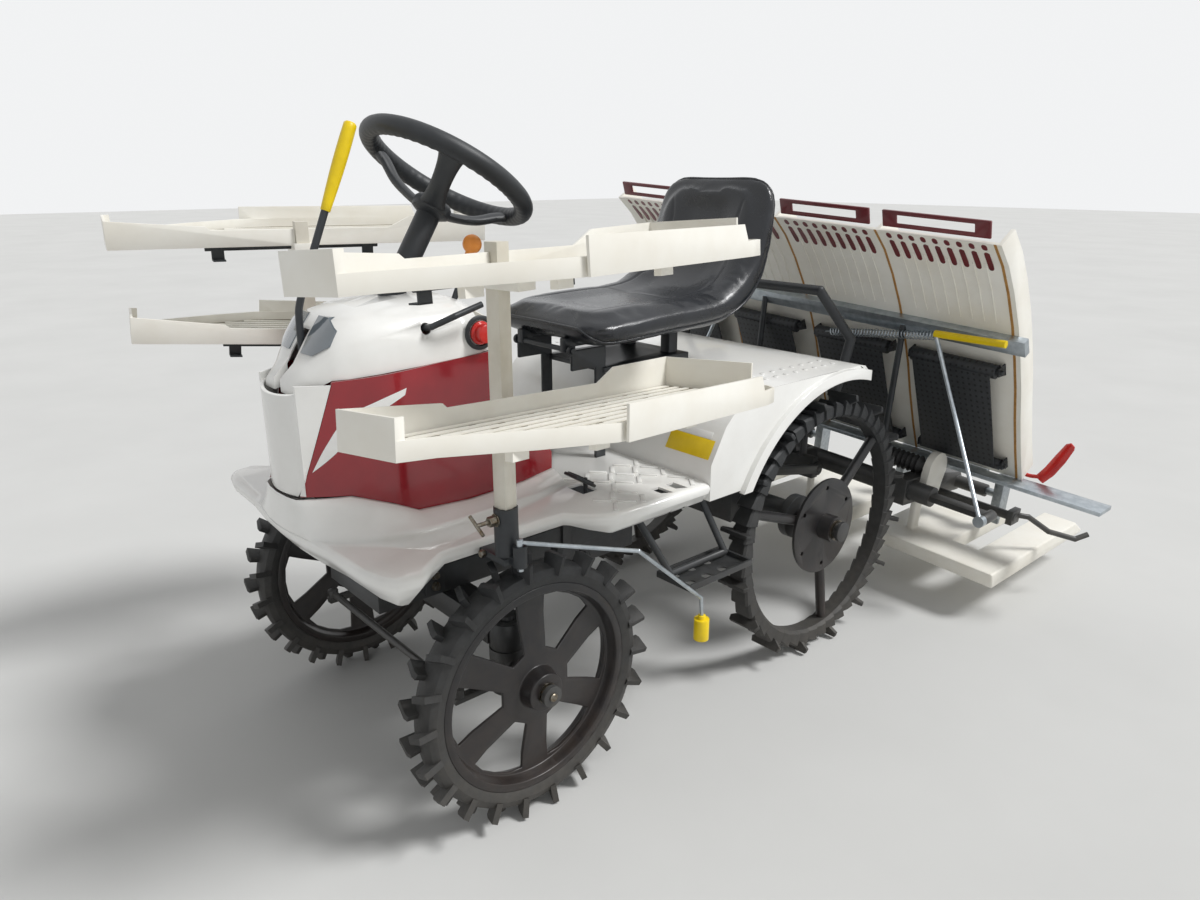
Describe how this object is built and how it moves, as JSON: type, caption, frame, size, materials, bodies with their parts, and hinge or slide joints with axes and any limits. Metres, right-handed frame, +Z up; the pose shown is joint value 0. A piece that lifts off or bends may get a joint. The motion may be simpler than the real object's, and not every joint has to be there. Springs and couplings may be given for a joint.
{
  "type": "riding rice transplanter",
  "caption": "Small riding rice transplanter with lugged narrow wheels, spare-seedling racks, a driver seat, a lifting rear planting unit and a sliding seedling tray.",
  "frame": {"origin": "middle of the ground rectangle under the whole machine, on the ground", "axes": "+Z up, -Y the way it drives, +X its left side"},
  "size_m": [1.6377, 2.4868, 1.326],
  "materials": {
    "black_paint": "satin black paint",
    "engine_paint": "dark grey cast housing",
    "wheel_paint": "satin black pressed steel",
    "rubber": "moulded lug rubber",
    "white_shell": "glossy white moulded panel",
    "red_shell": "glossy deep red panel",
    "lamp_lens": "smoked clear lens",
    "red_knob": "glossy red knob",
    "orange_knob": "orange ball grip",
    "dark_plastic": "matt black moulding",
    "seat_vinyl": "black moulded vinyl",
    "yellow_grip": "yellow dipped grip",
    "cream_paint": "cream powder coat",
    "cream_plastic": "cream moulded plastic",
    "zinc": "bright zinc plate",
    "cast_alloy": "cast alloy",
    "brown_plastic": "red-brown plastic",
    "black_rubber": "toothed rubber belt"
  },
  "bodies": {
    "chassis": {"frame": "black_paint", "engine": "engine_paint", "transmission": "engine_paint", "front_axle": "black_paint", "rear_axle": "black_paint", "floor": "white_shell", "rear_deck": "white_shell", "side_panel_left": "red_shell", "side_panel_right": "red_shell", "nose_cover": "white_shell", "top_cover": "white_shell", "headlamp": "lamp_lens", "control_knob": "red_knob", "change_lever": "orange_knob", "steering_column": "dark_plastic", "seat_mount": "black_paint", "guard_hoop": "dark_plastic", "lever_guide": "dark_plastic", "step_left": "black_paint", "step_right": "black_paint", "rack_bracket_left": "black_paint", "rack_bracket_right": "black_paint"},
    "front_left_knuckle": {"knuckle_left": "black_paint"},
    "front_right_knuckle": {"knuckle_right": "black_paint"},
    "steering_rod": {"tie_rod": "black_paint"},
    "front_left_wheel": {"front_disc_left": "wheel_paint", "front_tyre_left": "rubber"},
    "front_right_wheel": {"front_disc_right": "wheel_paint", "front_tyre_right": "rubber"},
    "rear_left_wheel": {"rear_wheel_left": "wheel_paint", "rear_lugs_left": "rubber"},
    "rear_right_wheel": {"rear_wheel_right": "wheel_paint", "rear_lugs_right": "rubber"},
    "hand_wheel": {"steering_wheel": "dark_plastic"},
    "driver_seat": {"seat": "seat_vinyl"},
    "front_handle": {"walk_handle": "yellow_grip"},
    "left_rack": {"rack_post_left": "cream_paint", "racks_left": "cream_plastic"},
    "right_rack": {"rack_post_right": "cream_paint", "racks_right": "cream_plastic"},
    "left_side_marker": {"side_marker_left": "zinc"},
    "right_side_marker": {"side_marker_right": "zinc"},
    "lift_lower_link": {"lower_link": "black_paint"},
    "lift_upper_link": {"upper_link": "black_paint"},
    "lift_hitch": {"hitch": "black_paint"},
    "planting_unit": {"planting_frame": "black_paint", "planter_cases": "black_paint", "guide_rail": "zinc", "floats": "cream_plastic", "drive_cover": "cream_plastic", "unit_hook": "black_paint"},
    "left_rotor": {"rotors_left": "cast_alloy"},
    "right_rotor": {"rotors_right": "cast_alloy"},
    "sliding_tray": {"tray": "cream_plastic", "tray_grips": "brown_plastic", "feed_belts": "black_rubber"},
    "left_line_marker": {"line_marker_left": "zinc"},
    "right_line_marker": {"line_marker_right": "zinc"}
  },
  "joints": [
    {"name": "steer_left", "type": "hinge", "parent": "chassis", "child": "front_left_knuckle", "pos_m": [0.296, -0.806, 0.355], "axis": [0, 0, 1], "range_deg": [-35, 35]},
    {"name": "steer_right", "type": "hinge", "parent": "chassis", "child": "front_right_knuckle", "pos_m": [-0.296, -0.806, 0.355], "axis": [0, 0, 1], "range_deg": [-35, 35]},
    {"name": "steering_rod_slide", "type": "slide", "parent": "chassis", "child": "steering_rod", "axis": [1, 0, 0], "range_m": [-0.07, 0.07]},
    {"name": "hand_wheel_turn", "type": "hinge", "parent": "chassis", "child": "hand_wheel", "pos_m": [0, -0.75722, 1.14288], "axis": [0, 0.5299, 0.848], "range_deg": [-285, 285]},
    {"name": "front_left_axle", "type": "hinge", "parent": "front_left_knuckle", "child": "front_left_wheel", "pos_m": [0.375, -0.806, 0.275], "axis": [1, 0, 0], "continuous": true},
    {"name": "front_right_axle", "type": "hinge", "parent": "front_right_knuckle", "child": "front_right_wheel", "pos_m": [-0.375, -0.806, 0.275], "axis": [1, 0, 0], "continuous": true},
    {"name": "rear_left_axle", "type": "hinge", "parent": "chassis", "child": "rear_left_wheel", "pos_m": [0.362, 0.136, 0.348], "axis": [1, 0, 0], "continuous": true},
    {"name": "rear_right_axle", "type": "hinge", "parent": "chassis", "child": "rear_right_wheel", "pos_m": [-0.362, 0.136, 0.348], "axis": [1, 0, 0], "continuous": true},
    {"name": "seat_tilt", "type": "hinge", "parent": "chassis", "child": "driver_seat", "pos_m": [0, -0.476, 0.846], "axis": [1, 0, 0], "range_deg": [0, 60]},
    {"name": "handle_fold", "type": "hinge", "parent": "chassis", "child": "front_handle", "pos_m": [0, -1.042, 0.878], "axis": [1, 0, 0], "range_deg": [0, 80]},
    {"name": "left_rack_swing", "type": "hinge", "parent": "chassis", "child": "left_rack", "pos_m": [0.384, -0.861, 0.615], "axis": [0, 0, -1], "range_deg": [-8, 45]},
    {"name": "right_rack_swing", "type": "hinge", "parent": "chassis", "child": "right_rack", "pos_m": [-0.384, -0.861, 0.615], "axis": [0, 0, 1], "range_deg": [-8, 45]},
    {"name": "left_side_marker_swing", "type": "hinge", "parent": "chassis", "child": "left_side_marker", "pos_m": [0.424, -0.861, 0.58], "axis": [0, 0, -1], "range_deg": [0, 60]},
    {"name": "right_side_marker_swing", "type": "hinge", "parent": "chassis", "child": "right_side_marker", "pos_m": [-0.424, -0.861, 0.58], "axis": [0, 0, 1], "range_deg": [0, 60]},
    {"name": "unit_lift", "type": "hinge", "parent": "chassis", "child": "lift_lower_link", "pos_m": [0, 0.244, 0.395], "axis": [1, 0, 0], "range_deg": [0, 44]},
    {"name": "upper_link_follow", "type": "hinge", "parent": "chassis", "child": "lift_upper_link", "pos_m": [0, 0.244, 0.545], "axis": [1, 0, 0], "range_deg": [0, 44]},
    {"name": "hitch_follow", "type": "hinge", "parent": "lift_lower_link", "child": "lift_hitch", "pos_m": [0, 0.53385, 0.33497], "axis": [1, 0, 0], "range_deg": [-44, 0]},
    {"name": "unit_roll", "type": "hinge", "parent": "lift_hitch", "child": "planting_unit", "pos_m": [0, 0.57992, 0.34], "axis": [0, 1, 0], "range_deg": [-8.5, 1.5]},
    {"name": "left_rotor_spin", "type": "hinge", "parent": "planting_unit", "child": "left_rotor", "pos_m": [0.32694, 0.914, 0.27993], "axis": [0.9981, 0, -0.061], "continuous": true},
    {"name": "right_rotor_spin", "type": "hinge", "parent": "planting_unit", "child": "right_rotor", "pos_m": [-0.33183, 0.914, 0.32022], "axis": [0.9981, 0, -0.061], "continuous": true},
    {"name": "tray_slide", "type": "slide", "parent": "planting_unit", "child": "sliding_tray", "axis": [0.9981, 0, -0.061], "range_m": [-0.045, 0.235]},
    {"name": "left_line_marker_fold", "type": "hinge", "parent": "planting_unit", "child": "left_line_marker", "pos_m": [0.5869, 0.626, 0.3041], "axis": [0, 1, 0], "range_deg": [0, 110]},
    {"name": "right_line_marker_fold", "type": "hinge", "parent": "planting_unit", "child": "right_line_marker", "pos_m": [-0.5869, 0.626, 0.3759], "axis": [0, -1, 0], "range_deg": [0, 110]}
  ],
  "couplings": [
    {"joint": "steer_right", "follows": "steer_left", "ratio": 1},
    {"joint": "steering_rod_slide", "follows": "steer_left", "m_per_rad": 0.10329},
    {"joint": "hand_wheel_turn", "follows": "steer_left", "ratio": 8},
    {"joint": "upper_link_follow", "follows": "unit_lift", "ratio": 1},
    {"joint": "hitch_follow", "follows": "unit_lift", "ratio": -1},
    {"joint": "right_rotor_spin", "follows": "left_rotor_spin", "ratio": 1}
  ]
}
